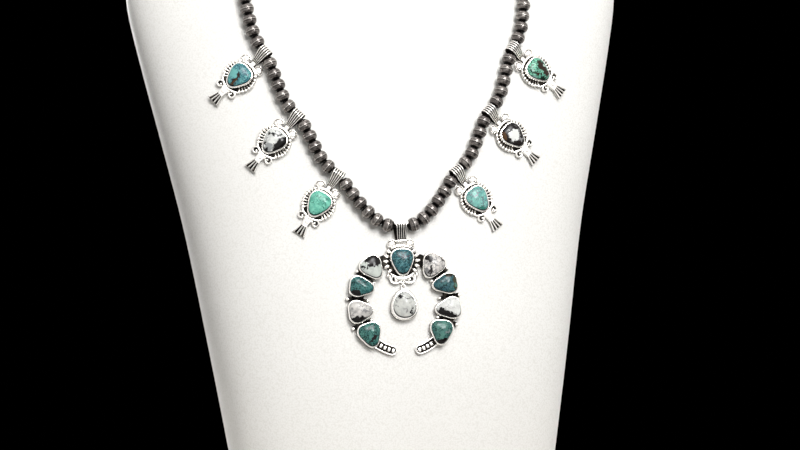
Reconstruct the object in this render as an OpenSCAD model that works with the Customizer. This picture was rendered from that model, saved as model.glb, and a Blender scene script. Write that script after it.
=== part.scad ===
// Squash blossom necklace of oxidised silver beads, set with turquoise and black-veined white stones, worn by a
// padded white neck bust. Millimetres, +Z up, the front faces -Y, and the origin is the middle of the bust's base.

/* [Bust] */
// Height of the bust from its base to the top of the neck
bust_h = 420; // [410:1:440]
// Width of the bust across its shoulders
bust_w = 303; // [290:1:330]
// Depth of the bust's base from front to back
bust_d = 126; // [115:1:140]
// Height of the hole of the large pendant's bail above the base
string_z = 177; // [170:1:185]

/* [Beads] */
// Diameter of a bead
bead_d = 8.4; // [7.4:0.1:8.4]
// Length of a bead along its string
bead_len = 6.5; // [6:0.1:6.6]
// Diameter of the hole through a bead
bead_bore = 1.8; // [1.4:0.1:2.4]
// Free length between one bead and the next
bead_gap = 0.35; // [0.35:0.05:0.4]
// More room after the first bead beside each bail, where the string bends most
bend_room = 0.35; // [0.3:0.05:0.5]
// Free height between the beads and the bust
rest_gap = 0.35; // [0.3:0.05:0.8]
// Diameter of the thread
thread_d = 0.7; // [0.5:0.1:1]
// Length of the barrel clasp at the back of the neck
clasp_len = 14; // [12:0.5:18]
// Diameter of the barrel clasp
clasp_d = 6; // [5:0.5:7]

/* [Bails] */
// Diameter of the hole through a bail
bail_bore = 5; // [4:0.1:5.2]
// Thickness of a bail's sheet
bail_t = 0.8; // [0.6:0.1:1]
// Height of the flutes on a bail and of those on a tail
flute_h = 0.4; // [0.2:0.1:0.6]
// Thickness of a flute
flute_t = 0.85; // [0.6:0.05:1]
// Width of a blossom's bail at the string
blossom_bail_w = 7.2; // [6.8:0.1:8]
// Width of the large pendant's bail at the string
naja_bail_w = 8.2; // [7.8:0.1:9]
// Free length between a bail and the bead beside it
bail_gap = 0.4; // [0.4:0.1:0.8]
// Distance from the hole of a bail down to its foot
bail_drop = 8.2; // [7.6:0.1:8.8]
// Share of a bail's width that its foot has
bail_taper = 0.55; // [0.4:0.05:0.7]

/* [Settings] */
// Thickness of the silver plate behind the settings
plate_t = 1.2; // [1:0.1:1.5]
// Thickness of a bezel's wall
bezel_t = 0.75; // [0.6:0.05:0.9]
// Height of a bezel above its plate
bezel_h = 2.8; // [2.4:0.1:3.4]
// Free width between a stone and its bezel
stone_gap = 0.06; // [0.05:0.01:0.1]
// Height of a stone's straight side
girdle_h = 2.5; // [2:0.1:2.8]
// Height of a stone's dome above its straight side
dome_h = 2.3; // [1.6:0.1:3]
// Radius of the small silver balls
ball_r = 1.1; // [0.9:0.05:1.2]
// Radius of the round plate behind a blossom and behind the head of the large pendant
head_r = 9.9; // [9.6:0.1:10.6]
// Distance from the hole of a bail down to the middle of the round plate
head_drop = 19.8; // [19.4:0.1:21]

/* [Blossoms] */
// Width of a blossom's stone
blossom_stone_w = 12.4; // [11:0.1:13]
// Length of a blossom's stone
blossom_stone_l = 14.6; // [13:0.1:15.2]
// Length of a blossom's tail below its round plate
tail_len = 11.4; // [11:0.1:14]
// Width of the end of a blossom's tail
tail_w = 7.8; // [7:0.1:9]

/* [Large pendant] */
// Radius of the circle that the stones of the crescent stand on
ring_r = 27.2; // [27:0.1:28]
// Distance from the hole of the bail down to the middle of that circle
ring_drop = 44.8; // [44.6:0.1:45.6]
// Width of a stone of the crescent
ring_stone_w = 12.4; // [11.6:0.1:12.8]
// Length of a stone of the crescent
ring_stone_l = 13.6; // [12.8:0.1:14]
// Width of the crescent from its inner to its outer silver balls
ring_w = 14; // [13.4:0.1:14.6]
// Width of the two tips of the crescent
tip_w = 5.6; // [5:0.1:6]
// Width of the stone of the hanging drop
drop_stone_w = 13.2; // [12.4:0.1:13.6]
// Length of the stone of the hanging drop
drop_stone_l = 15.2; // [14:0.1:15.6]
// Thickness of the wall of the drop's bezel
drop_bezel_t = 1.6; // [1.2:0.1:1.8]
// Radius of the wire of the eyes and of the ring that hold the drop
eye_wire_r = 0.35; // [0.3:0.01:0.4]
// Radius of the eyes, to the middle of their wire
eye_r = 1.2; // [1.15:0.05:1.4]
// Radius of the ring between the eyes, to the middle of its wire
link_r = 1.3; // [1.2:0.05:1.4]
// Free width between the ring and each eye
link_gap = 0.15; // [0.1:0.05:0.3]

/* [Hidden] */
$fn = 48;
SIDES = ["left", "right"];

SILVER = [0.84, 0.82, 0.78];
DARK_SILVER = [0.3, 0.28, 0.28];
TURQUOISE = [0.27, 0.6, 0.56];
WHITE_STONE = [0.86, 0.86, 0.84];
LINEN_WHITE = [0.95, 0.95, 0.94];

// Sections of the bust: height as a share of bust_h, half width as a share of bust_w / 2, front and back as shares
// of bust_d from the origin, and the exponent of the section's outline, where 2 is an ellipse
SECTIONS = [
    [0.000, 0.606, -0.500, 0.500, 3.0],
    [0.095, 0.648, -0.500, 0.500, 3.0],
    [0.238, 0.713, -0.476, 0.500, 3.0],
    [0.421, 0.801, -0.393, 0.500, 2.9],
    [0.548, 0.879, -0.330, 0.500, 2.9],
    [0.619, 0.925, -0.290, 0.500, 2.8],
    [0.698, 0.974, -0.239, 0.500, 2.7],
    [0.752, 1.000, -0.200, 0.500, 2.6],
    [0.781, 0.984, -0.175, 0.500, 2.5],
    [0.800, 0.922, -0.151, 0.500, 2.4],
    [0.819, 0.798, -0.127, 0.500, 2.3],
    [0.838, 0.645, -0.103, 0.500, 2.2],
    [0.857, 0.497, -0.083, 0.500, 2.1],
    [0.876, 0.398, -0.071, 0.500, 2.0],
    [0.905, 0.352, -0.063, 0.500, 2.0],
    [0.952, 0.336, -0.063, 0.500, 2.0],
    [0.986, 0.336, -0.063, 0.500, 2.0],
    [0.996, 0.318, -0.045, 0.482, 2.0],
    [1.000, 0.276, -0.008, 0.445, 2.0]
];
bust_sides = 56;
// Height of a ring of facets on the body and on the shoulders, which start at this share of bust_h
bust_step = 15;
shoulder_step = 4;
shoulder_from = 0.75;
bust_cut = 3;

// The string's route over the front of the bust: distance to the side, and height above the large pendant's bail
FRONT_ROUTE = [
    [0, 0], [7.3, 0.3], [13, 3.6], [18.5, 8.7], [27.4, 19.9], [31.2, 26.6], [36.3, 32.4], [41.4, 36.4],
    [45.2, 42.6], [50.8, 55.5], [54, 62.4], [58.8, 68.4], [63, 73.4], [65.4, 80], [69.4, 92.6], [71.8, 99.6],
    [75.4, 106], [78.6, 111.6], [80.4, 118], [82.6, 130], [83.8, 139]
];
// The rest of the route, over the shoulder and round the back of the neck, as points that lie near the bust:
// shares of bust_w / 2, of bust_d and of bust_h
NECK_ROUTE = [
    [0.555, -0.127, 0.793], [0.535, -0.04, 0.826], [0.495, 0.103, 0.851], [0.435, 0.262, 0.864],
    [0.33, 0.381, 0.872], [0.17, 0.472, 0.879], [0, 0.5, 0.881]
];
route_samples = 6;

// Beads between the large pendant and blossom 3, between blossoms 3 and 2, and between blossoms 2 and 1
BEADS_BETWEEN = [6, 5, 5];
// Angle from straight down at which the blossoms 3, 2 and 1 lie, outwards
BLOSSOM_LEAN = [34, 41.5, 46];

// Stones of the crescent, from the top down: side, angle from the top, shares of ring_r, of ring_stone_w and of
// ring_stone_l, and the direction in which the narrow end points, counted from the right
RING_STONES = [
    [-1, 39.4, 1.045, 1.00, 0.97, 305],
    [-1, 67.0, 1.007, 0.90, 1.00, 350],
    [-1, 97.8, 0.980, 1.00, 0.99, 5],
    [-1, 128.5, 0.985, 1.02, 1.00, 286],
    [1, 39.4, 1.045, 1.00, 1.02, 240],
    [1, 67.0, 1.007, 0.92, 1.02, 188],
    [1, 97.8, 0.980, 0.95, 1.04, 186],
    [1, 128.5, 0.985, 1.00, 1.00, 262]
];
// Angles from the top at which the silver balls stand between the crescent's stones
BALL_ANGLES = [53.2, 83, 113.6];
// Points round a stone, how far its three corners swell, and the rings of facets on its dome
outline_points = 24;
outline_swell = 0.12;
dome_rings = 3;

// Where the crescent's plate starts beside the head, and where each tip starts and ends, counted from the top
crescent_from = 16;
tip_from = 140;
tip_to = 163;
tip_out = 0.8;
bump_r = 1.05;
bumps = 4;

flutes = 5;
back_depth = bail_bore / 2 + bail_t + flute_h;
plate_z = plate_t - back_depth;
lift = bead_d / 2 + rest_gap;
pitch = bead_len + bead_gap;
seat_gap = 0.3;
// Length by which a cut runs past what it cuts
over = 1;

function unit(v) = v / norm(v);
function flip(p) = [-p.x, p.y, p.z];

// Smooth curve through the rows of a table, for one of its columns
function slope_at(rows, i, c) = let (lo = max(i - 1, 0), hi = min(i + 1, len(rows) - 1))
    (rows[hi][c] - rows[lo][c]) / (rows[hi][0] - rows[lo][0]);
function row_below(rows, x, i = 0) = i + 2 >= len(rows) || rows[i + 1][0] > x ? i : row_below(rows, x, i + 1);
function column(rows, share, c) = let (
        x = min(max(share, rows[0][0]), rows[len(rows) - 1][0]),
        i = row_below(rows, x),
        w = rows[i + 1][0] - rows[i][0],
        t = (x - rows[i][0]) / w,
        a = rows[i][c],
        b = rows[i + 1][c],
        ma = slope_at(rows, i, c) * w,
        mb = slope_at(rows, i + 1, c) * w
    ) a + t * ma + t * t * (3 * (b - a) - 2 * ma - mb) + t * t * t * (2 * (a - b) + ma + mb);

// A section of the bust: half width, middle from front to back, half depth and exponent
function section(z) = let (
        share = z / bust_h,
        front = column(SECTIONS, share, 2) * bust_d,
        back = column(SECTIONS, share, 3) * bust_d
    ) [column(SECTIONS, share, 1) * bust_w / 2, (front + back) / 2, (back - front) / 2, column(SECTIONS, share, 4)];
// Below zero inside the bust, and above zero outside it
function outside(p) = let (s = section(p.z)) pow(abs(p.x) / s[0], s[3]) + pow(abs(p.y - s[1]) / s[2], s[3]) - 1;
function rise(p) = let (h = 0.2) [
    outside(p + [h, 0, 0]) - outside(p - [h, 0, 0]),
    outside(p + [0, h, 0]) - outside(p - [0, h, 0]),
    outside(p + [0, 0, h]) - outside(p - [0, 0, h])
] / (2 * h);
function normal_at(p) = unit(rise(p));
function onto_bust(p, tries = 7) = tries == 0 ? p
    : let (g = rise(p)) onto_bust(p - outside(p) * g / (g * g), tries - 1);
function above_bust(p, height) = let (q = onto_bust(p)) q + normal_at(q) * height;
function front_point(x, z) = let (s = section(z)) [x, s[1] - s[2] * pow(1 - pow(abs(x) / s[0], s[3]), 1 / s[3]), z];

// The route of the string as close points, each one bead's radius above the bust, from the front to the nape
knots = concat(
    [for (r = FRONT_ROUTE) front_point(r.x, string_z + r.y)],
    [for (r = NECK_ROUTE) [r.x * bust_w / 2, r.y * bust_d, r.z * bust_h]]
);
function knot(i) = i < 0 ? flip(knots[-i]) : i >= len(knots) ? flip(knots[2 * len(knots) - 2 - i]) : knots[i];
function between(i, t) = 0.5 * (2 * knot(i) + (knot(i + 1) - knot(i - 1)) * t
    + (2 * knot(i - 1) - 5 * knot(i) + 4 * knot(i + 1) - knot(i + 2)) * t * t
    + (3 * knot(i) - knot(i - 1) - 3 * knot(i + 1) + knot(i + 2)) * t * t * t);
line = concat(
    [for (i = [0:len(knots) - 2], k = [0:route_samples - 1]) above_bust(between(i, k / route_samples), lift)],
    [above_bust(knots[len(knots) - 1], lift)]
);
run = [for (i = 0, s = 0; i < len(line); s = s + (i + 1 < len(line) ? norm(line[i + 1] - line[i]) : 0), i = i + 1) s];
half_length = run[len(run) - 1];
tables = [for (c = [0:2]) [for (i = [0:len(line) - 1]) [run[i], line[i][c]]]];
function on_string(s) = [for (c = [0:2]) lookup(s, tables[c])];

// Places along half of the string where one thing on it ends and the next begins
naja_half = naja_bail_w / 2 + bail_gap;
bail_slot = blossom_bail_w + 2 * bail_gap;
function group_start(k) = k == 0 ? naja_half
    : group_start(k - 1) + bend_room + BEADS_BETWEEN[k - 1] * pitch + bail_slot;
function bead_start(k, i, step) = group_start(k) + i * step + (i > 0 ? bend_room : 0);
back_room = half_length - clasp_len / 2 - bead_gap - group_start(3) - bend_room;
back_beads = floor(back_room / pitch);
back_pitch = back_room / back_beads;
bead_starts = concat(
    [for (k = [0:2], i = [0:BEADS_BETWEEN[k] - 1]) [bead_start(k, i, pitch), pitch]],
    [for (i = [0:back_beads - 1]) [bead_start(3, i, back_pitch), back_pitch]]
);
function bail_start(k) = group_start(k) - bail_slot;
echo(string_length = 2 * half_length, beads_behind_each_side = back_beads);

// Frames are an origin and three axes. On a bead the third axis follows the string. On a pendant the second points
// up to its bail and the third away from the bust
function bead_frame(start, length) = let (
        a = on_string(start),
        b = on_string(start + length),
        t = unit(b - a),
        n = normal_at((a + b) / 2),
        x = unit(cross(n, t))
    ) [(a + b) / 2, x, cross(t, x), t];
function pendant_frame(start, slot, lean, reach) = let (
        p = (on_string(start) + on_string(start + slot)) / 2,
        q = onto_bust(front_point(p.x + reach * sin(lean), p.z - reach * cos(lean))),
        n = normal_at(q),
        up = unit(p - q - n * (back_depth + seat_gap)),
        w = unit(n - up * (n * up))
    ) [p, cross(up, w), up, w];
function blossom_frame(i) = pendant_frame(bail_start(4 - i), bail_slot, BLOSSOM_LEAN[3 - i], head_drop);
naja_frame = pendant_frame(0, 0, 0, ring_drop);
echo(hinge_of_the_large_pendant = naja_frame[0]);

module place(f) {
    multmatrix([for (r = [0:2]) [f[1][r], f[2][r], f[3][r], f[0][r]]]) children();
}

module on_side(side) {
    if (side == "left") mirror([1, 0, 0]) children();
    else children();
}

// Outline of a stone, a rounded triangle whose narrow end points down before it is turned
function pick(w, l, turn) = [for (i = [0:outline_points - 1]) let (
        a = i * 360 / outline_points,
        r = 1 + outline_swell * cos(3 * (a + 90)),
        x = r * cos(a) * w / (2 + outline_swell * 0.7),
        y = r * sin(a) * l / 2
    ) [x * cos(turn) - y * sin(turn), x * sin(turn) + y * cos(turn)]];

// A closed body through rings of equally many points, from the lowest ring to the highest
module rings_body(rings) {
    n = len(rings[0]);
    top = (len(rings) - 1) * n;
    polyhedron(
        points = [for (r = rings) each r],
        faces = concat(
            [[for (i = [0:n - 1]) i]],
            [for (k = [0:len(rings) - 2], i = [0:n - 1]) [
                k * n + i, (k + 1) * n + i, (k + 1) * n + (i + 1) % n, k * n + (i + 1) % n
            ]],
            [[for (i = [n - 1:-1:0]) top + i]]
        ),
        convexity = 4
    );
}

// Padded display bust: one moulded body with a flat base
module bust() {
    function power(v, e) = sign(v) * pow(abs(v), e);
    heights = concat(
        [-bust_cut],
        [for (i = [0:len(SECTIONS) - 2]) let (
                lo = SECTIONS[i][0] * bust_h,
                hi = SECTIONS[i + 1][0] * bust_h,
                n = ceil((hi - lo) / (SECTIONS[i][0] < shoulder_from ? bust_step : shoulder_step))
            ) for (k = [0:n - 1]) lo + (hi - lo) * k / n],
        [bust_h]
    );
    rings = [for (z = heights) let (s = section(z)) [for (i = [0:bust_sides - 1]) let (a = i * 360 / bust_sides)
        [s[0] * power(cos(a), 2 / s[3]), s[1] + s[2] * power(sin(a), 2 / s[3]), z]]];
    color(LINEN_WHITE) difference() {
        rings_body(rings);
        translate([-bust_w, -bust_w, -2 * bust_cut]) cube([2 * bust_w, 2 * bust_w, 2 * bust_cut]);
    }
}

// Round bead, a little shorter than it is wide, drilled for the thread
module bead() {
    cap_r = bead_len / 2;
    rotate_extrude() intersection() {
        translate([bead_d / 2 - cap_r, 0]) circle(cap_r);
        translate([bead_bore / 2, -bead_len]) square([bead_d, 2 * bead_len]);
    }
}

module beads(side) {
    color(DARK_SILVER) on_side(side) for (b = bead_starts) place(bead_frame(b[0], b[1])) bead();
}

// Thread in one loop through every bead and bail. It bends only where one thing on it meets the next
module thread() {
    stops = concat(
        [0, naja_half],
        [for (k = [0:2]) each concat(
            [for (i = [1:BEADS_BETWEEN[k]]) bead_start(k, i, pitch)],
            [group_start(k + 1)]
        )],
        [for (i = [1:back_beads]) bead_start(3, i, back_pitch)]
    );
    half = [for (s = stops) on_string(s)];
    loop = concat(half, [for (i = [len(half) - 1:-1:1]) flip(half[i])]);
    n = len(loop);
    sides = 6;
    rings = [for (i = [0:n - 1]) let (
            t = unit(loop[(i + 1) % n] - loop[(i + n - 1) % n]),
            u = unit(cross(t, normal_at(loop[i]))),
            v = cross(t, u)
        ) [for (k = [0:sides - 1]) loop[i] + thread_d / 2 * (u * cos(k * 360 / sides) + v * sin(k * 360 / sides))]];
    color("dimgray") polyhedron(
        points = [for (r = rings) each r],
        faces = [for (i = [0:n - 1], k = [0:sides - 1]) let (j = (i + 1) % n, m = (k + 1) % sides)
            [i * sides + k, j * sides + k, j * sides + m, i * sides + m]],
        convexity = 6
    );
}

// Plain barrel clasp at the nape, drilled for the thread
module clasp() {
    a = on_string(half_length - clasp_len / 2);
    color(SILVER) translate([0, a.y, a.z]) rotate([0, 90, 0]) difference() {
        union() {
            cylinder(d = clasp_d, h = clasp_len * 0.6, center = true);
            cylinder(d = clasp_d * 0.7, h = clasp_len, center = true);
        }
        cylinder(d = bead_bore, h = clasp_len + 2 * over, center = true);
    }
}

// Side view of a bail: its roll round the string, and its front sheet that leaves the roll at a small angle and
// runs down to the foot
bail_nip = 6;
module bail_side(r) {
    foot = [-bail_drop, plate_z + flute_h];
    a = atan2(foot.y, foot.x) - acos(r / norm(foot)) - bail_nip;
    circle(r);
    polygon([r * [cos(a), sin(a)], foot, [-bail_drop, plate_z - plate_t / 2], [0, 0]]);
}

// Fluted bail: a tapered strap over the string with a fan of flutes on it
module bail(w) {
    core_r = bail_bore / 2 + bail_t;
    flute_r = core_r + flute_h;
    flare = atan2(w / 2 * (1 - bail_taper), bail_drop);
    step = (w - flute_t - 2 * flute_r * sin(flare)) / (flutes - 1);
    core_w = step * (flutes - 1);
    intersection() {
        rotate([90, 0, 90]) translate([0, 0, -w / 2]) linear_extrude(w) bail_side(core_r);
        linear_extrude(4 * flute_r, center = true) polygon([
            [-core_w / 2, flute_r + over], [core_w / 2, flute_r + over],
            [core_w / 2 * bail_taper, -bail_drop - over], [-core_w / 2 * bail_taper, -bail_drop - over]
        ]);
    }
    for (k = [0:flutes - 1]) {
        x = (k - (flutes - 1) / 2) * step;
        translate([x, 0, 0]) rotate([0, 0, -atan2(x * (1 - bail_taper), bail_drop)]) rotate([90, 0, 90])
            translate([0, 0, -flute_t / 2]) linear_extrude(flute_t) bail_side(flute_r);
    }
}

module bail_hole(w) {
    rotate([0, 90, 0]) cylinder(d = bail_bore, h = 2 * w, center = true);
}

// Low silver dome on a plate
module dome(r, h) {
    ball = (r * r + h * h) / (2 * h);
    intersection() {
        translate([0, 0, h - ball]) sphere(ball);
        translate([0, 0, -plate_t / 3]) cylinder(r = r, h = h + plate_t);
    }
}

module bezel(w, l, turn, base = plate_t / 2, wall = bezel_t) {
    linear_extrude(base + bezel_h) polygon(pick(w + 2 * wall, l + 2 * wall, turn));
}

module bezel_hollow(w, l, turn) {
    linear_extrude(bezel_h + over) polygon(pick(w + 2 * stone_gap, l + 2 * stone_gap, turn));
}

// Domed stone that stands on the plate inside its bezel
module stone(w, l, turn, tint) {
    base = pick(w, l, turn);
    color(tint) translate([0, 0, plate_z + stone_gap]) rings_body(concat(
        [[for (p = base) [p.x, p.y, 0]]],
        [for (k = [0:dome_rings]) let (a = k * 90 / (dome_rings + 0.6))
            [for (p = base) [p.x * cos(a), p.y * cos(a), girdle_h + dome_h * sin(a)]]]
    ));
}

// Round plate of a blossom and of the large pendant, with two ears beside the foot of the bail, two curls at the
// bottom, and a bow above and below the stone. Places and sizes are shares of head_r
ear = [0.53, 1.02, 0.27];
curl = [0.49, -1.08, 0.22];
bow_r = 0.93;
foot_w = blossom_bail_w * bail_taper * 0.7;
module head() {
    module curled(at) {
        disc_r = at.z * head_r;
        for (side = [-1, 1]) translate([side * at.x, at.y, 0] * head_r) {
            translate([0, 0, -plate_t / 2]) cylinder(r = disc_r - flute_t / 2, h = plate_t / 2);
            rotate_extrude() translate([disc_r - flute_t / 2, 0]) circle(flute_t / 2, $fn = 24);
            dome(disc_r * 0.5, flute_h * 2);
        }
    }
    translate([0, -head_drop, -back_depth]) linear_extrude(plate_t) {
        circle(head_r);
        for (side = [-1, 1], at = [ear, curl]) translate([side * at.x, at.y] * head_r) circle(at.z * head_r);
        translate([-ear.x * head_r, 0]) square([2 * ear.x * head_r, ear.y * head_r]);
        translate([-foot_w / 2, 0]) square([foot_w, head_drop - bail_drop + over / 2]);
    }
    translate([0, -head_drop, plate_z]) {
        curled(ear);
        curled(curl);
        for (side = [0, 1]) rotate([0, 0, side * 180 + 62]) rotate_extrude(angle = 56)
            translate([head_r * bow_r, 0]) circle(flute_t * 0.85, $fn = 24);
    }
}

// Row of short bars down each side of a blossom
bars = 8;
bar_span = 88;
module side_bars() {
    for (side = [0, 180], k = [0:bars - 1])
        translate([0, -head_drop, plate_z]) rotate([0, 0, side + bar_span * (k / (bars - 1) - 0.5)])
            translate([head_r * 0.72, 0, 0]) rotate([0, 90, 0]) cylinder(r = flute_t * 0.75, h = head_r * 0.31);
}

// Row of silver balls down each side of the large pendant's head
side_balls = 5;
ball_top = 26;
ball_step = 21.5;
module side_row() {
    for (side = [0, 1], k = [0:side_balls - 1])
        translate([0, -head_drop, plate_z]) mirror([side, 0, 0]) rotate([0, 0, ball_top - k * ball_step])
            translate([head_r - ball_r / 2, 0, 0.1]) sphere(ball_r);
}

// Tail of a blossom: a short neck with a ball on it, and a fan of four flutes
fan_share = 0.52;
module tail() {
    top = head_drop + head_r * 0.95;
    end = head_drop + head_r + tail_len;
    fan = end - tail_len * fan_share;
    neck_w = tail_w * 0.56;
    translate([0, 0, -back_depth]) linear_extrude(plate_t)
        polygon([[-neck_w * 0.7, -top], [neck_w * 0.7, -top], [neck_w / 2, -fan], [tail_w / 2, -end],
            [-tail_w / 2, -end], [-neck_w / 2, -fan]]);
    translate([0, (-top - fan) / 2 - ball_r / 2, plate_z]) dome(ball_r, flute_h * 2);
    for (k = [-1.5:1.5]) {
        start = k * (neck_w - 2 * flute_t) / 3;
        finish = k * (tail_w - 2 * flute_t) / 3;
        translate([start, -fan, plate_z]) rotate([90, 0, atan2(finish - start, end - fan)])
            cylinder(r = flute_t * 0.85, h = end - fan - flute_t / 2);
    }
}

// One blossom in silver: bail, plate, bezel and tail soldered together
module blossom(side, i) {
    color(SILVER) on_side(side) place(blossom_frame(i)) difference() {
        union() {
            bail(blossom_bail_w);
            head();
            side_bars();
            tail();
            translate([0, -head_drop, plate_z - plate_t / 2]) bezel(blossom_stone_w, blossom_stone_l, 0);
        }
        translate([0, -head_drop, plate_z]) bezel_hollow(blossom_stone_w, blossom_stone_l, 0);
        bail_hole(blossom_bail_w);
    }
}

module blossom_stone(side, i) {
    on_side(side) place(blossom_frame(i)) translate([0, -head_drop, 0])
        stone(blossom_stone_w, blossom_stone_l, 0, i == 2 ? WHITE_STONE : TURQUOISE);
}

// Place of a stone on the crescent, counted from the hole of the bail
function ring_place(angle, share) = [sin(angle), cos(angle)] * ring_r * share - [0, ring_drop];
function ring_stone(side, i) = let (row = RING_STONES[(side == "left" ? 0 : 4) + i - 1])
    [ring_place(row[0] * row[1], row[2]), row[3] * ring_stone_w, row[4] * ring_stone_l, row[5] + 90];

// Eyes that carry the drop, and the ring that links them: heights below the hole of the bail
eye_top = head_drop + head_r * 1.2;
link_drop = eye_top + eye_r - 2 * eye_wire_r - link_gap + link_r;
drop_eye = link_drop + link_r - 2 * eye_wire_r - link_gap + eye_r;
drop_top = drop_eye + eye_r;
drop_drop = drop_top + (1 + outline_swell) * (drop_stone_l / 2 + drop_bezel_t);
eye_z = link_r + 2 * eye_wire_r - back_depth;

module ring_of(r) {
    rotate_extrude() translate([r, 0]) circle(eye_wire_r, $fn = 20);
}

// The crescent pendant in silver: bail, head, plate, nine bezels, balls and tips soldered together
module naja() {
    bump_step = (tip_to - tip_from) / (bumps + 0.4);
    tip_r = ring_r + tip_out;
    color(SILVER) place(naja_frame) difference() {
        union() {
            bail(naja_bail_w);
            head();
            side_row();
            translate([0, -head_drop, plate_z - plate_t / 2]) bezel(blossom_stone_w, blossom_stone_l, 0);
            translate([0, -eye_top, eye_z]) ring_of(eye_r);
            translate([-eye_r, -eye_top + eye_r * 0.7, -back_depth])
                cube([2 * eye_r, eye_top - eye_r * 0.7 - head_drop - head_r * 0.9, eye_z + back_depth + eye_wire_r]);
            translate([0, -ring_drop, -back_depth]) for (side = [0, 1]) mirror([side, 0, 0]) {
                rotate([0, 0, 90 - tip_from]) rotate_extrude(angle = tip_from - crescent_from)
                    translate([ring_r - ring_w / 4, 0]) square([ring_w / 2, plate_t]);
                rotate([0, 0, 90 - tip_to]) rotate_extrude(angle = tip_to - tip_from + 1)
                    translate([tip_r - tip_w / 2, 0]) square([tip_w, plate_t * 1.5]);
                rotate([0, 0, 90 - tip_to]) translate([tip_r, 0, 0]) cylinder(d = tip_w, h = plate_t * 1.5);
                for (k = [0:bumps - 1]) rotate([0, 0, 90 - tip_to + k * bump_step])
                    translate([tip_r, 0, plate_t * 1.5]) sphere(bump_r);
                for (a = BALL_ANGLES) rotate([0, 0, 90 - a]) {
                    translate([ring_r - ring_w / 2 + ball_r, -ball_r, 0])
                        cube([ring_w - 2 * ball_r, 2 * ball_r, plate_t]);
                    for (r = [ring_r - ring_w / 2 + ball_r, ring_r + ring_w / 2 - ball_r]) translate([r, 0, 0]) {
                        cylinder(r = ball_r, h = plate_t);
                        translate([0, 0, plate_t + 0.1]) sphere(ball_r);
                    }
                }
            }
            for (side = SIDES, i = [1:4]) let (s = ring_stone(side, i))
                translate([s[0].x, s[0].y, -back_depth]) bezel(s[1], s[2], s[3], plate_t);
        }
        translate([0, -head_drop, plate_z]) bezel_hollow(blossom_stone_w, blossom_stone_l, 0);
        for (side = SIDES, i = [1:4]) let (s = ring_stone(side, i))
            translate([s[0].x, s[0].y, plate_z]) bezel_hollow(s[1], s[2], s[3]);
        bail_hole(naja_bail_w);
    }
}

module naja_stone_centre() {
    place(naja_frame) translate([0, -head_drop, 0]) stone(blossom_stone_w, blossom_stone_l, 0, TURQUOISE);
}

module naja_stone(side, i) {
    s = ring_stone(side, i);
    place(naja_frame) translate([s[0].x, s[0].y, 0]) stone(s[1], s[2], s[3], i % 2 == 1 ? WHITE_STONE : TURQUOISE);
}

// Ring that links the pendant's eye with the eye of the drop
module drop_ring() {
    color(SILVER) place(naja_frame) translate([0, -link_drop, eye_z]) rotate([0, 90, 0]) ring_of(link_r);
}

// Setting of the drop that hangs inside the crescent: cup and eye in one
module drop_setting() {
    color(SILVER) place(naja_frame) difference() {
        union() {
            translate([0, -drop_drop, -back_depth]) bezel(drop_stone_w, drop_stone_l, 180, plate_t, drop_bezel_t);
            translate([0, -drop_eye, eye_z]) ring_of(eye_r);
        }
        translate([0, -drop_drop, plate_z]) bezel_hollow(drop_stone_w, drop_stone_l, 180);
    }
}

module drop_stone() {
    place(naja_frame) translate([0, -drop_drop, 0]) stone(drop_stone_w, drop_stone_l, 180, WHITE_STONE);
}

bust();
thread();
clasp();
naja();
naja_stone_centre();
drop_ring();
drop_setting();
drop_stone();
for (side = SIDES) {
    beads(side);
    for (i = [1:3]) {
        blossom(side, i);
        blossom_stone(side, i);
    }
    for (i = [1:4]) {
        naja_stone(side, i);
    }
}
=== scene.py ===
import math
import random

import bmesh
import bpy
import numpy as np
from mathutils import Matrix, Vector


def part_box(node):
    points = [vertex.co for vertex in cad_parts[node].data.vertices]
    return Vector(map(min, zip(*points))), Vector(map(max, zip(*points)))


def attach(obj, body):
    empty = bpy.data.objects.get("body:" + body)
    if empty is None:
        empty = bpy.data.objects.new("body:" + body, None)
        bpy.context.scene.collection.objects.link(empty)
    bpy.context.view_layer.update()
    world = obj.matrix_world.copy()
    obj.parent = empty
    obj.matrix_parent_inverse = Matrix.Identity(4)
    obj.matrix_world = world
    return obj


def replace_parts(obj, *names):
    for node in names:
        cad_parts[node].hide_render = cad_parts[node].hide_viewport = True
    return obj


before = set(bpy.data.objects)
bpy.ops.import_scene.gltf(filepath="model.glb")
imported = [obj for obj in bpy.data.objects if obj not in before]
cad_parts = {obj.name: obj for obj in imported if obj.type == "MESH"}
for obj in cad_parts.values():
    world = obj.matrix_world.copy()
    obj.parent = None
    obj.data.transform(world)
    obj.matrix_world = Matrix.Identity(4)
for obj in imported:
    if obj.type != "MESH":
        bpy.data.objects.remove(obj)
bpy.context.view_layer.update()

# The picture is taken from a little left of the front, almost level and tilted by a degree and a half, with
# a lens of about 90 mm on a film 36 mm wide.
AIM = Vector((-0.0014, -0.06, 0.1787))
CAMERA_DISTANCE = 1.1517
FOCAL_PIXELS = 1992.9
PICTURE_WIDTH = 800
FILM_WIDTH = 36
TURN = math.radians(-9.77)
RISE = math.radians(1.03)
ROLL = math.radians(-1.64)


def stood(place, right, up, out):
    """The matrix of a thing at a place, from the directions of its own three axes."""
    return Matrix.Translation(place) @ Matrix((right, up, out)).transposed().to_4x4()


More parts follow.
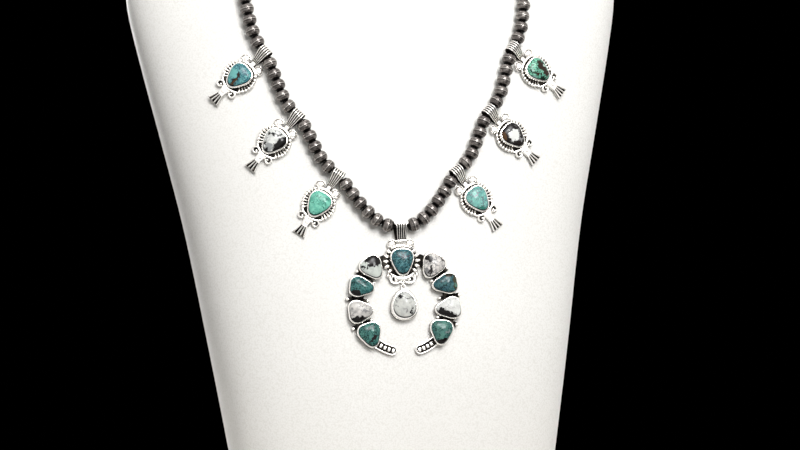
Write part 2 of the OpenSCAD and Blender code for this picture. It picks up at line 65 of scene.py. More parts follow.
ahead = Vector((-math.sin(TURN) * math.cos(RISE), math.cos(TURN) * math.cos(RISE), -math.sin(RISE)))
level = ahead.cross(Vector((0, 0, 1))).normalized()
upright = level.cross(ahead)
across = level * math.cos(ROLL) + upright * math.sin(ROLL)
upward = upright * math.cos(ROLL) - level * math.sin(ROLL)
lens = bpy.data.cameras.new("photo_camera")
lens.sensor_width = FILM_WIDTH
lens.lens = FOCAL_PIXELS * FILM_WIDTH / PICTURE_WIDTH
camera = bpy.data.objects.new("photo_camera", lens)
camera.matrix_world = stood(AIM - ahead * CAMERA_DISTANCE, across, upward, -ahead)
bpy.context.scene.collection.objects.link(camera)
bpy.context.scene.camera = camera
bpy.context.scene.view_settings.view_transform = "Standard"

# The bust stands on a round pale table with a matt painted top, which is no part of the object.
TABLE_RADIUS = 0.24
TABLE_THICKNESS = 0.02


def new_finish(name):
    """A new material with its node tree and its shader."""
    material = bpy.data.materials.new(name)
    material.use_nodes = True
    tree = material.node_tree
    return material, tree, tree.nodes["Principled BSDF"]


def tint(colour):
    """A colour from the 0 to 255 that a picture shows to the light that a shader takes."""
    return [((c / 255 + 0.055) / 1.055) ** 2.4 if c > 10 else c / 3294 for c in colour] + [1]


def pattern(tree, kind, where, numbers, output="Fac", socket="Vector", **settings):
    """What a texture of this kind gives with these numbers and settings, read at where."""
    node = tree.nodes.new("ShaderNodeTex" + kind)
    for name, setting in settings.items():
        setattr(node, name, setting)
    for name, number in numbers.items():
        node.inputs[name].default_value = number
    tree.links.new(where, node.inputs[socket])
    return node.outputs[output]


def speckle(tree, where, scale, detail=3.0, rough=0.5):
    """Soft noise from 0 to 1, at so many grains in a metre."""
    return pattern(tree, "Noise", where, {"Scale": scale, "Detail": detail, "Roughness": rough})


def feed(tree, value, socket):
    """Gives a socket a plain value or another node's output."""
    if isinstance(value, bpy.types.NodeSocket):
        tree.links.new(value, socket)
    else:
        socket.default_value = value


def blended(tree, share, first, second):
    """Mixes two colours, each as a picture shows it, from 0 to 255, or another node's output."""
    node = tree.nodes.new("ShaderNodeMix")
    node.data_type = "RGBA"
    tree.links.new(share, node.inputs["Factor"])
    for colour, socket in ((first, node.inputs[6]), (second, node.inputs[7])):
        feed(tree, tint(colour) if isinstance(colour, tuple) else colour, socket)
    return node.outputs[2]


def object_place(tree):
    """The place of a point on the object, in metres."""
    return tree.nodes.new("ShaderNodeTexCoord").outputs["Object"]


def extruded_points(bm):
    """Extrudes all faces of a sheet, and returns the points of the new side."""
    grown = bmesh.ops.extrude_face_region(bm, geom=list(bm.faces))["geom"]
    return [g for g in grown if isinstance(g, bmesh.types.BMVert)]


floor_finish, tree, shader = new_finish("pale_table")
here = object_place(tree)
shade = speckle(tree, here, 40)
tree.links.new(blended(tree, shade, (226, 222, 216), (212, 208, 202)), shader.inputs["Base Color"])
shader.inputs["Roughness"].default_value = 0.6
bm = bmesh.new()
bmesh.ops.create_circle(bm, cap_ends=True, segments=96, radius=TABLE_RADIUS)
bmesh.ops.translate(bm, vec=(0, 0, -TABLE_THICKNESS), verts=extruded_points(bm))
bmesh.ops.recalc_face_normals(bm, faces=bm.faces)
table_mesh = bpy.data.meshes.new("pale_table")
bm.to_mesh(table_mesh)
bm.free()
table_mesh.materials.append(floor_finish)
table = bpy.data.objects.new("pale_table", table_mesh)
bpy.context.scene.collection.objects.link(table)

# The room is a pale studio that the silver mirrors, brighter overhead and to the right, with one dark place
# low at the front. Most of the light comes from four soft lamps, and behind the bust all is black.
world = bpy.data.worlds.new("soft_room")
world.use_nodes = True
bpy.context.scene.world = world
tree = world.node_tree
room = tree.nodes["Background"]
room.inputs["Color"].default_value = (1, 0.99, 0.97, 1)
toward = tree.nodes.new("ShaderNodeTexCoord").outputs["Generated"]


def spread(tree, value, low, high, to_low=0.0, to_high=1.0):
    """Turns the part of a value between low and high into a share between to_low and to_high."""
    node = tree.nodes.new("ShaderNodeMapRange")
    node.interpolation_type = "SMOOTHSTEP"
    for name, number in (("From Min", low), ("From Max", high), ("To Min", to_low), ("To Max", to_high)):
        node.inputs[name].default_value = number
    tree.links.new(value, node.inputs["Value"])
    return node.outputs["Result"]


def worked_out(tree, operation, *terms, kind="Math", output="Value"):
    """The result of an operation on its terms, each plain or another node's output."""
    node = tree.nodes.new("ShaderNode" + kind)
    node.operation = operation
    for term, socket in zip(terms, node.inputs):
        feed(tree, term, socket)
    return node.outputs[output]


def room_side(direction, low, high, at_low, at_high):
    """Share of light from one side of the room, from the angle between a ray and that side."""
    facing = worked_out(tree, "DOT_PRODUCT", toward, direction, kind="VectorMath")
    return spread(tree, facing, low, high, at_low, at_high)


seen = tree.nodes.new("ShaderNodeLightPath")
shares = [
    room_side((0.05, 0.15, 0.99), -0.95, -0.4, 0.2, 1),
    room_side((0.8, -0.3, 0.5), -0.9, 0.6, 0.85, 1.1),
    room_side((0.6, -0.66, -0.43), 0.86, 0.96, 1, 0.12),
    spread(tree, seen.outputs["Is Diffuse Ray"], 0, 1, 1, 0.27),
]
brightness = shares.pop()
while shares:
    brightness = worked_out(tree, "MULTIPLY", brightness, shares.pop())
tree.links.new(brightness, room.inputs["Strength"])
behind = tree.nodes.new("ShaderNodeBackground")
behind.inputs["Color"].default_value = (0, 0, 0, 1)
pick_room = tree.nodes.new("ShaderNodeMixShader")
tree.links.new(seen.outputs["Is Camera Ray"], pick_room.inputs["Fac"])
tree.links.new(room.outputs["Background"], pick_room.inputs[1])
tree.links.new(behind.outputs["Background"], pick_room.inputs[2])
tree.links.new(pick_room.outputs["Shader"], tree.nodes["World Output"].inputs["Surface"])
LIT = Vector((0, -0.05, 0.43))


def soft_light(name, place, size, power, beam=180):
    """A round lamp turned to the bust's neck, so many metres across and open to so many degrees."""
    light = bpy.data.lights.new(name, "AREA")
    light.shape = "DISK"
    light.size = size
    light.energy = power
    light.spread = math.radians(beam)
    lamp = bpy.data.objects.new(name, light)
    lamp.location = place
    lamp.rotation_euler = (LIT - Vector(place)).to_track_quat("-Z", "Y").to_euler()
    bpy.context.scene.collection.objects.link(lamp)


soft_light("key_light", (0.36, -1.25, 0.63), 0.3, 0.44, 42)
soft_light("high_light", (0.1, -0.75, 0.95), 1.0, 1.95, 40)
soft_light("top_light", (0.1, 0.2, 1.5), 0.9, 4)
soft_light("back_light", (-0.5, 1.4, 0.7), 0.9, 12)

# The neck bust is a moulded body in a smooth white leatherette cover, drawn tight over it and turned in
# under the flat base.
bust_finish, tree, shader = new_finish("white_leatherette")
here = object_place(tree)
cloudy = speckle(tree, here, 14, 2)
numbers = {"Scale": 1100, "Smoothness": 0.6}
grain = pattern(tree, "Voronoi", here, numbers, "Distance", feature="SMOOTH_F1")
fine = speckle(tree, here, 3200, 2)
pale = blended(tree, cloudy, (243, 242, 239), (236, 234, 230))
worn = spread(tree, grain, 0.2, 0.9)
tree.links.new(blended(tree, worn, pale, (228, 226, 221)), shader.inputs["Base Color"])
tree.links.new(spread(tree, fine, 0.2, 0.8, 0.42, 0.58), shader.inputs["Roughness"])
shader.inputs["Sheen Weight"].default_value = 0.08
shader.inputs["Sheen Roughness"].default_value = 0.4


def dented(tree, shader, height, depth, under=None):
    """Bumps a surface by a height from 0 to 1 that stands for so many metres."""
    bump = tree.nodes.new("ShaderNodeBump")
    bump.inputs["Strength"].default_value = 1.0
    bump.inputs["Distance"].default_value = depth
    tree.links.new(height, bump.inputs["Height"])
    if under:
        tree.links.new(under, bump.inputs["Normal"])
    tree.links.new(bump.outputs["Normal"], shader.inputs["Normal"])
    return bump.outputs["Normal"]


pebbled = dented(tree, shader, grain, -0.00002)
dented(tree, shader, fine, 0.000008, pebbled)


def shown(name, bm, finish, body, sharp=40):
    """Makes the finished piece of a mesh, smooth but for its sharp edges."""
    for face in bm.faces:
        face.smooth = True
    for seam in bm.edges:
        if len(seam.link_faces) == 2 and seam.calc_face_angle() > math.radians(sharp):
            seam.smooth = False
    mesh = bpy.data.meshes.new(name)
    bm.to_mesh(mesh)
    bm.free()
    mesh.materials.append(finish)
    piece = bpy.data.objects.new(name, mesh)
    bpy.context.scene.collection.objects.link(piece)
    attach(piece, body)
    return piece


def merged_copy(node):
    """A copy of a CAD node's loose triangles as one closed mesh."""
    bm = bmesh.new()
    bm.from_mesh(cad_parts[node].data)
    bmesh.ops.remove_doubles(bm, verts=bm.verts, dist=1e-6)
    return bm


bm = merged_copy("bust")
bmesh.ops.dissolve_limit(bm, angle_limit=0.001, verts=bm.verts, edges=bm.edges)
bmesh.ops.join_triangles(bm, faces=bm.faces, angle_face_threshold=1.0, angle_shape_threshold=3.1)
crease = bm.edges.layers.float.new("crease_edge")
for seam in bm.edges:
    if all(abs(v.co.z) < 1e-5 for v in seam.verts):
        seam[crease] = 0.9
cover = shown("bust_cover", bm, bust_finish, "bust", 75)
rounding = cover.modifiers.new("rounding", "SUBSURF")
rounding.levels = 2
rounding.render_levels = 2
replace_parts(cover, "bust")

# The beads, bails and clasp are strung on one loop of black waxed thread, twisted from fine strands. It
# shows only between one bead and the next.
thread_finish, tree, shader = new_finish("waxed_thread")
here = object_place(tree)
numbers = {"Scale": 900, "Distortion": 1.5}
twist = pattern(tree, "Wave", here, numbers, bands_direction="DIAGONAL")
strands = blended(tree, twist, (38, 35, 33), (66, 60, 55))
tree.links.new(strands, shader.inputs["Base Color"])
waxy = speckle(tree, here, 2500)
tree.links.new(spread(tree, waxy, 0.2, 0.8, 0.4, 0.7), shader.inputs["Roughness"])
dented(tree, shader, twist, 0.00006)
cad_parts["thread"].material_slots[0].material = thread_finish

# The clasp is a plain barrel of silver at the nape, turned in two halves that screw together, with a milled
# ring at the joint and a rounded cap at each end. The thread runs into both caps.
CLASP_RADIUS = 3.0
CLASP_LENGTH = 14.0
CLASP_BORE = 0.9
# Its silver is the pendants' too: polished on all that the wheel reaches, and black with oxide in the
# hollows. The attribute "oxide" keeps each point's share of it.
HOLLOW = 0.9
CLEAN = 0.1


def attribute(tree, name, output="Fac"):
    """What a piece's own mesh keeps at each point under this name."""
    node = tree.nodes.new("ShaderNodeAttribute")
    node.attribute_name = name
    return node.outputs[output]


silver_finish, tree, shader = new_finish("oxidised_silver")
here = object_place(tree)
mottle = speckle(tree, here, 2600, 3)
uneven = worked_out(tree, "MULTIPLY_ADD", mottle, 0.5, attribute(tree, "oxide"))
black = spread(tree, uneven, 0.62, 0.92)
tarnish = tree.nodes.new("ShaderNodeValToRGB")
tarnish.color_ramp.elements[0].color = tint((252, 250, 246))
tarnish.color_ramp.elements[1].color = tint((11, 9, 8))
warm = tarnish.color_ramp.elements.new(0.45)
warm.color = tint((112, 92, 76))
tree.links.new(black, tarnish.inputs["Fac"])
cloudy = speckle(tree, here, 420, 4)
haze = spread(tree, cloudy, 0.45, 0.8, 0, 0.2)
metal = blended(tree, haze, tarnish.outputs["Color"], (196, 184, 168))
tree.links.new(metal, shader.inputs["Base Color"])
tree.links.new(spread(tree, black, 0, 1, 1, 0.1), shader.inputs["Metallic"])
rub = speckle(tree, here, 5200, 2)
polish = spread(tree, rub, 0.3, 0.8, 0.12, 0.24)
tree.links.new(worked_out(tree, "MULTIPLY_ADD", black, 0.6, polish), shader.inputs["Roughness"])
shader.inputs["Specular IOR Level"].default_value = 0.12
beaten = dented(tree, shader, speckle(tree, here, 700, 2), 0.00012)
dented(tree, shader, rub, 0.000008, beaten)


def shape():
    """An empty mesh whose points can keep their share of oxide."""
    bm = bmesh.new()
    bm.verts.layers.float.new("oxide")
    return bm


def blacken(bm, share):
    """Gives each point of a shape its share of oxide, by a rule for a point."""
    marks = bm.verts.layers.float["oxide"]
    for v in bm.verts:
        v[marks] = share(v)
    return bm


def turned(profile, steps, closed=False):
    """Spins a side view of (radius, height) pairs round the z axis."""
    bm = shape()
    side = [bm.verts.new((r, 0, z)) for r, z in profile]
    chain = [bm.edges.new(pair) for pair in zip(side, side[1:])]
    if closed:
        chain.append(bm.edges.new((side[-1], side[0])))
    bmesh.ops.spin(bm, geom=side + chain, cent=(0, 0, 0), axis=(0, 0, 1), steps=steps, angle=2 * math.pi,
                   use_merge=True)
    bmesh.ops.remove_doubles(bm, verts=bm.verts, dist=1e-5)
    return bm


def put(body, part, place=Matrix()):
    """Adds one closed shape to a body at its place."""
    bmesh.ops.transform(part, matrix=place, verts=part.verts)
    bmesh.ops.recalc_face_normals(part, faces=part.faces)
    mesh = bpy.data.meshes.new("part")
    part.to_mesh(mesh)
    part.free()
    body.from_mesh(mesh)
    bpy.data.meshes.remove(mesh)


low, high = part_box("clasp")
half = [
    (CLASP_BORE, CLASP_LENGTH / 2), (1.5, 6.95), (1.85, 6.7), (2.0, 6.3), (2.1, 4.6), (2.25, 4.35),
    (2.75, 4.2), (2.95, 4.0), (CLASP_RADIUS, 3.7), (CLASP_RADIUS, 1.2), (2.85, 1.05), (2.85, 0.75),
    (CLASP_RADIUS, 0.65), (CLASP_RADIUS, 0.1), (2.85, 0),
]
bm = turned(half + [(r, -z) for r, z in half[-2::-1]], 48, closed=True)


def clasp_oxide(v):
    """Black in the bore and the milled groove."""
    ring = math.hypot(v.co.x, v.co.y)
    return HOLLOW if ring < CLASP_RADIUS - 0.1 and (abs(v.co.z) < 1.2 or ring < 1.2) else CLEAN


barrel = shape()
at_nape = Matrix.Translation((low + high) / 2) @ Matrix.Rotation(math.pi / 2, 4, "Y")
FROM_MILLIMETRES = Matrix.Scale(0.001, 4)
put(barrel, blacken(bm, clasp_oxide), at_nape @ FROM_MILLIMETRES)
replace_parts(shown("barrel_clasp", barrel, silver_finish, "bust"), "clasp")

# The beads are round and hollow, soldered from two halves of silver sheet and drilled, then blackened and
# rubbed. Each has its own tone, in the attribute "tone". By the height above the seam in the attribute
# "along", each has a painted highlight on its raised seam and a painted shadow just below it, and is black
# at its holes, partly with oxide and partly as painted shade in the gaps between the beads.
bead_finish, tree, shader = new_finish("blackened_beads")
here = object_place(tree)
along = attribute(tree, "along")
smoky = blended(tree, attribute(tree, "tone"), (106, 101, 99), (142, 137, 133))
blotch = spread(tree, speckle(tree, here, 750, 4, 0.6), 0.42, 0.66)
smoky = blended(tree, blotch, smoky, (84, 78, 76))
off_seam = worked_out(tree, "ABSOLUTE", along)
painted_seam_highlight = spread(tree, off_seam, 0.12, 0.2, 1, 0)
# Black at the holes: oxide in the collars, and painted shade in the gaps between the beads.
hole_oxide_and_shade = spread(tree, off_seam, 2.5, 2.7, 0, 1)
# A painted shadow darkens the band just below the seam.
fading_in = spread(tree, along, -1.3, -0.4, 0, 0.7)
fading_out = spread(tree, along, -0.25, -0.15, 1, 0)
painted_shadow_below_seam = worked_out(tree, "MULTIPLY", fading_in, fading_out)
smoky = blended(tree, painted_shadow_below_seam, smoky, (20, 18, 17))
# A painted highlight along the raised seam.
smoky = blended(tree, painted_seam_highlight, smoky, (186, 181, 176))
smoky = blended(tree, hole_oxide_and_shade, smoky, (6, 5, 5))
tree.links.new(smoky, shader.inputs["Base Color"])
tree.links.new(spread(tree, hole_oxide_and_shade, 0, 1, 1, 0.1), shader.inputs["Metallic"])
rings = pattern(tree, "Noise", along, {"Scale": 9, "Detail": 4}, "Fac", "W", noise_dimensions="1D")
tree.links.new(spread(tree, blotch, 0, 1, 0.14, 0.3), shader.inputs["Roughness"])
rubbed = dented(tree, shader, rings, 0.00003)
dented(tree, shader, speckle(tree, here, 900, 3), 0.00004, rubbed)
shader.inputs["Specular IOR Level"].default_value = 0.12

BEAD_LENGTH = 6.5
BEAD_WIDTH = 8.4
BEAD_BORE = 1.8
BEAD_STEPS = 22
cap = BEAD_LENGTH / 2
rim = BEAD_WIDTH / 2
side_view = [
    (BEAD_BORE / 2, cap - 0.05), (BEAD_BORE / 2 + 0.2, cap + 0.12), (rim - 1.95, cap + 0.12),
    (rim - 1.8, cap - 0.05), (rim - 1.7, cap - 0.28), (rim - 1.2, cap - 0.6), (rim - 0.72, cap - 1.06),
    (rim - 0.41, cap - 1.55), (rim - 0.22, cap - 2.05), (rim - 0.11, cap - 2.6), (rim - 0.08, 0.24),
    (rim - 0.01, 0.12), (rim, 0),
]
side_view += [(r, -z) for r, z in side_view[-2::-1]]
bm = turned(side_view, BEAD_STEPS, closed=True)
bm.verts.layers.float.new("along")
bm.verts.layers.float.new("tone")
along_bead = bm.verts.layers.float["along"]
for v in bm.verts:
    v[along_bead] = v.co.z
bmesh.ops.recalc_face_normals(bm, faces=bm.faces)
bead_mesh = bpy.data.meshes.new("bead")
bm.to_mesh(bead_mesh)
bm.free()


def bead_places(node):
    """The middle and the direction of each drilled bead of a CAD node, read from its own round solid."""
    bm = merged_copy(node)
    left = set(bm.verts)
    places = []
    while left:
        found = {left.pop()}
        edge_of = list(found)
        while edge_of:
            near = {e.other_vert(v) for v in edge_of for e in v.link_edges} - found
            found |= near
            edge_of = list(near)
        left -= found
        points = np.array([v.co for v in found])
        middle = (points.min(0) + points.max(0)) / 2
        spans, axes = np.linalg.eigh(np.cov((points - middle).T))
        lone = 0 if spans[1] - spans[0] > spans[2] - spans[1] else 2
        places.append((Vector(middle), Vector(axes[:, lone])))
    bm.free()
    return sorted(places, key=lambda place: (round(place[0].z, 4), place[0].x))


FULL_TURN = 6.3
chance = random.Random(5)
for side in ("left", "right"):
    string = bmesh.new()
    for name in ("oxide", "along", "tone"):
        string.verts.layers.float.new(name)
    tones = string.verts.layers.float["tone"]
    for middle, direction in bead_places("beads_" + side):
        count = len(string.verts)
        string.from_mesh(bead_mesh)
        string.verts.ensure_lookup_table()
        bead = string.verts[count:]
        shade = chance.random()
        for v in bead:
            v[tones] = shade
        spin = Matrix.Rotation(chance.random() * FULL_TURN, 4, "Z") @ FROM_MILLIMETRES
        upwards = direction if direction.z > 0 else -direction
        turn = upwards.to_track_quat("Z", "Y").to_matrix().to_4x4()
        bmesh.ops.transform(string, matrix=Matrix.Translation(middle) @ turn @ spin, verts=bead)
    beads = shown("bead_string_" + side, string, bead_finish, "bust", 50)
    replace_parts(beads, "beads_" + side)
bpy.data.meshes.remove(bead_mesh)

# Each blossom is cut from silver sheet and soldered: a fluted bail folded over the thread, a round plate
# with a bezel for the stone, petals and scrolls of wire, short bars down each side, and a four-pronged tail.
FLOOR = -2.5
BACK = -3.7
HEAD_DROP = 19.8
HEAD_RADIUS = 9.9
BEZEL_WALL = 0.64
STONE_GAP = 0.06
OUTLINE_SWELL = 0.12
BLOSSOM_STONE = (13.0, 15.3, 0, 0.1)
ON_PLATE = Matrix.Translation((0, -HEAD_DROP, FLOOR))


def wire(path, thickness, sides=10, height=1.0):
    """Wire through the points of a path, with its own half thickness at each, closed at both ends."""
    bm = shape()
    path = [Vector(p) for p in path]
    frames = []
    for i, (point, half) in enumerate(zip(path, thickness)):
        on = (path[min(i + 1, len(path) - 1)] - path[max(i - 1, 0)]).normalized()
        beside = on.cross(Vector((0, 0, 1)))
        beside = beside.normalized() if beside.length > 1e-3 else Vector((1, 0, 0))
        over = beside.cross(on)
        frames.append(stood(point, beside * half, over * half * height, on))
    bmesh.ops.create_circle(bm, cap_ends=False, segments=sides, radius=1)
    bmesh.ops.transform(bm, matrix=frames[0], verts=bm.verts)
    rim = list(bm.edges)
    for before, after in zip(frames, frames[1:]):
        grown = bmesh.ops.extrude_edge_only(bm, edges=rim)["geom"]
        fresh = [g for g in grown if isinstance(g, bmesh.types.BMVert)]
        known = set(fresh)
        rim = [g for g in grown if isinstance(g, bmesh.types.BMEdge) and known.issuperset(g.verts)]
        bmesh.ops.transform(bm, matrix=after @ before.inverted(), verts=fresh)
    bmesh.ops.holes_fill(bm, edges=[e for e in bm.edges if e.is_boundary], sides=0)
    return bm


def slab(across, along, place):
    """A closed sheet of across by along faces, whose corners at shares u, v and w go to place(u, v, w)."""
    bm = shape()
    bmesh.ops.create_grid(bm, x_segments=across, y_segments=along, size=0.5)
    marks = bm.verts.layers.float["oxide"]
    bmesh.ops.translate(bm, vec=(0, 0, 1), verts=extruded_points(bm))
    for v in bm.verts:
        *spot, dark = place(v.co.x + 0.5, v.co.y + 0.5, round(v.co.z))
        v.co = spot
        v[marks] = dark
    return bm


BY_HEIGHT = -1.0
BACK_OXIDE = 0.12
PLATE_OXIDE = 1.15
OXIDE_REACH = 0.55


def oxidise(bm):
    """Blackens what lies on or just above the plate, but for the points that have a share of their own."""
    marks = bm.verts.layers.float["oxide"]
    for v in bm.verts:
        if v[marks] <= BY_HEIGHT:
            rise = v.co.z - FLOOR
            dark = min(1.0, max(0.0, PLATE_OXIDE - max(rise, 0) / OXIDE_REACH))
            v[marks] = BACK_OXIDE if rise < -0.15 else dark


def by_height(bm):
    """Leaves a part's share of oxide to its height above the plate."""
    return blacken(bm, lambda v: BY_HEIGHT)


def arc(middle, radius, start, end, count, height):
    """So many points on a part of a circle, between two angles in degrees."""
    turns = [math.radians(start + (end - start) * k / (count - 1)) for k in range(count)]
    return [(middle[0] + radius * math.cos(t), middle[1] + radius * math.sin(t), height) for t in turns]


def rounded(count, thick):
    """Half thicknesses of a wire that is full in the middle and drawn thin at both ends."""
    thin = 0.3
    return [thick * (thin + (1 - thin) * math.sin(math.pi * k / (count - 1)) ** 0.6) for k in range(count)]


def pick_point(width, length, swell, angle):
    """A point on the outline of a stone, a rounded triangle whose narrow end points down."""
    r = 1 + swell * math.cos(3 * (angle + math.pi / 2))
    return Vector((r * math.cos(angle) * width / (2 + swell * 0.7), r * math.sin(angle) * length / 2))


GROWTH = 10.0


def to_outline(bm, size):
    """Draws a round turned shape out to a stone's outline: radius 1 is the stone's edge, less is a share of
    it, and each tenth more is a millimetre outside it."""
    width, length, turn, swell = size
    bend = Matrix.Rotation(math.radians(turn), 2)
    for v in bm.verts:
        ring = math.hypot(v.co.x, v.co.y)
        angle = math.atan2(v.co.y, v.co.x)
        more = 2 * GROWTH * max(ring - 1, 0)
        spot = bend @ (pick_point(width + more, length + more, swell, angle) * min(ring, 1))
        v.co = (spot.x, spot.y, v.co.z)
    return bm


def bezel(size, base=0.6, wall=BEZEL_WALL):
    """Wall of a setting from under its plate up to the lip that is rubbed over the stone's edge."""
    # The outer wall is darkened to grey-brown from the plate up to about two millimetres above it.
    outside = [
        (wall, -base, 0.15), (wall, 0.0, 1.0), (wall, 0.45, 0.75), (wall - 0.02, 1.4, 0.44),
        (wall - 0.05, 2.1, 0.22), (wall * 0.86, 2.55, 0), (wall * 0.55, 2.86, 0), (0.08, 3.0, 0),
    ]
    over_stone = [(0.986, 3.02, 0.1), (0.978, 2.97, 0.95), (0.99, 2.79, 1)]
    inside = [(STONE_GAP, 2.5, 1), (STONE_GAP, 1.9, 1), (STONE_GAP, -base, 0.15)]
    side = [(1 + grow / GROWTH, z, dark) for grow, z, dark in outside] + over_stone
    side += [(1 + grow / GROWTH, z, dark) for grow, z, dark in inside]
    bm = turned([(r, z) for r, z, dark in side], 72, closed=True)

    def nearest(v):
        ring = math.hypot(v.co.x, v.co.y)
        return min(side, key=lambda row: abs(row[0] - ring) + abs(row[1] - v.co.z))[2]

    return to_outline(blacken(bm, nearest), size)


def granule(radius):
    """A silver ball."""
    turns = [math.radians(angle) for angle in range(0, 181, 15)]
    return by_height(turned([(radius * math.sin(t), -radius * math.cos(t)) for t in turns], 16))


BAIL_RADIUS = 3.7
BAIL_SHEET = 1.1
BAIL_FOOT = (-8.2, FLOOR + 0.4)
BAIL_BACK = (-8.2, BACK + 0.6)
FLUTES = 5
FLUTE_DEPTH = 0.55


def bail_path(front):
    """Side view of the folded strap from its back foot over the thread to its front foot: y, z and the way
    out."""
    def touch(foot, way):
        reach = math.hypot(*foot)
        return math.atan2(foot[1], foot[0]) + way * math.acos(BAIL_RADIUS / reach)

    start = touch(BAIL_BACK, 1)
    end = touch(front, -1) + 2 * math.pi

    def row(turn, foot=(0, 0), share=1.0):
        out = (math.cos(turn), math.sin(turn))
        return [foot[i] * (1 - share) + BAIL_RADIUS * out[i] * share for i in (0, 1)] + list(out)

    back = [row(start, BAIL_BACK, k / 6) for k in range(6)]
    over = [row(start + (end - start) * k / 28) for k in range(29)]
    return back + over + [row(end, front, 1 - k / 12) for k in range(1, 13)]


def bail(width, taper, front, plain_top):
    """Strap of a bail with five flutes. The large pendant's has a plain top and a fluted skirt."""
    rows = bail_path(front)
    ridge_share = 0.5 if plain_top else 0.64

    def place(u, v, w):
        spot = v * (len(rows) - 1)
        i = min(int(spot), len(rows) - 2)
        y, z, ny, nz = [rows[i][k] + (rows[i + 1][k] - rows[i][k]) * (spot - i) for k in range(4)]
        below = min(max(y / front[0], 0), 1)
        half = width / 2 * (1 + (taper - 1) * below ** 1.15)
        part = (u * FLUTES) % 1 if 0 < u < 1 else 0.2
        ridge = math.sqrt(max(0.0, 1 - ((2 * part - 1) / ridge_share) ** 2))
        cut = 1.0
        if plain_top:
            cut = min(max((1.3 - y) / 0.5, 0), 1) if z > 0 else 0.0
            half *= 1 - 0.18 * cut
        groove = (1 - ridge) * cut
        sink = FLUTE_DEPTH * groove if w else BAIL_SHEET
        dark = 1.1 * groove if w else 0.7
        if plain_top and cut > 0 and w:
            sink += 0.25 * cut
            dark += 0.2
        return (u - 0.5) * 2 * half, y - ny * sink, z - nz * sink, min(dark, 1.0)

    return slab(FLUTES * 8, len(rows) - 1, place)


PLATE = 1.2
PETAL_PLACE = (5.25, 10.1)
PETAL_TURN = 24
PETAL_STRETCH = (1.14, 0.98, 1, 1)
SCROLL_PLACE = (4.85, -10.7)
SCROLL_RADIUS = 2.18


def head(body):
    """Round plate with its two petals beside the foot of the bail, its two scrolls below, and the bows."""
    rim = HEAD_RADIUS - 0.2
    plate = [(0, 0), (3, 0), (6, 0), (8.5, 0), (rim, 0), (HEAD_RADIUS, -0.2), (HEAD_RADIUS, -1.0),
             (rim, -PLATE), (0, -PLATE)]
    put(body, by_height(turned(plate, 72)), ON_PLATE)
    petal = [(0, 1.05), (0.8, 1.0), (1.4, 0.84), (1.85, 0.55), (2.02, 0.2), (2.12, 0.16), (2.2, 0.45),
             (2.36, 0.68), (2.54, 0.6), (2.66, 0.3), (2.67, -1.0), (2.5, -PLATE), (0, -PLATE)]
    for side in (-1, 1):
        at = ON_PLATE @ Matrix.Translation((side * PETAL_PLACE[0], PETAL_PLACE[1], 0))
        tilt = Matrix.Rotation(math.radians(-PETAL_TURN * side), 4, "Z")
        put(body, by_height(turned(petal, 36)), at @ tilt @ Matrix.Diagonal(PETAL_STRETCH))
    for x, low, high, rise in ((5.2, -0.5, 9.6, 0), (1.9, 8.8, 11.9, 0.7)):
        sheet = slab(4, 2, lambda u, v, w: (
            x * (2 * u - 1), low + (high - low) * v, rise * math.sin(math.pi * u) ** 0.5 if w else -PLATE,
            BY_HEIGHT))
        put(body, sheet, ON_PLATE)
    edge = SCROLL_RADIUS
    rim = edge - 0.12
    disc = [(0, 0), (1.6, 0), (rim, 0), (edge, -0.15), (edge, -1.05), (rim, -PLATE), (0, -PLATE)]
    for side in (-1, 1):
        at = ON_PLATE @ Matrix.Translation((side * SCROLL_PLACE[0], SCROLL_PLACE[1], 0))
        at = at @ Matrix.Diagonal((side, 1, 1, 1))
        put(body, by_height(turned(disc, 30)), at)
        loop = arc((0, 0), edge - 0.44, 130, -170, 25, 0.3)
        put(body, by_height(wire(loop, [0.3] + [0.56] * 23 + [0.4], 8)), at)
        put(body, granule(0.72), at @ Matrix.Translation((-0.6, -0.2, 0.35)))
    put(body, by_height(wire(arc((0, 0), 9.1, 48, 132, 21, 0.35), rounded(21, 0.95), 12)), ON_PLATE)
    put(body, by_height(wire(arc((0, 0), 9.85, 226, 314, 23, 0.35), rounded(23, 0.85), 12)), ON_PLATE)


BARS = 8
BAR_SPAN = 88
NECK_TOP = 29.0
FAN_START = 35.17
TAIL_END = 41.1
TOP_HALF = 3.06
NECK_HALF = 2.18
END_HALF = 3.95


def side_bars(body):
    """Short bars from the bezel out to the rim, each drawn thin beside the bezel and ending in a knob."""
    for side in (0, 180):
        for k in range(BARS):
            angle = math.radians(side + BAR_SPAN * (k / (BARS - 1) - 0.5))
            path = [(r, 0, 0.32) for r in (6.7, 7.0, 7.9, 8.5, 9.0, 9.6, 10.05, 10.25)]
            bar = wire(path, [0.28, 0.4, 0.46, 0.78, 0.98, 1.0, 0.72, 0.3])
            put(body, by_height(bar), ON_PLATE @ Matrix.Rotation(angle, 4, "Z"))


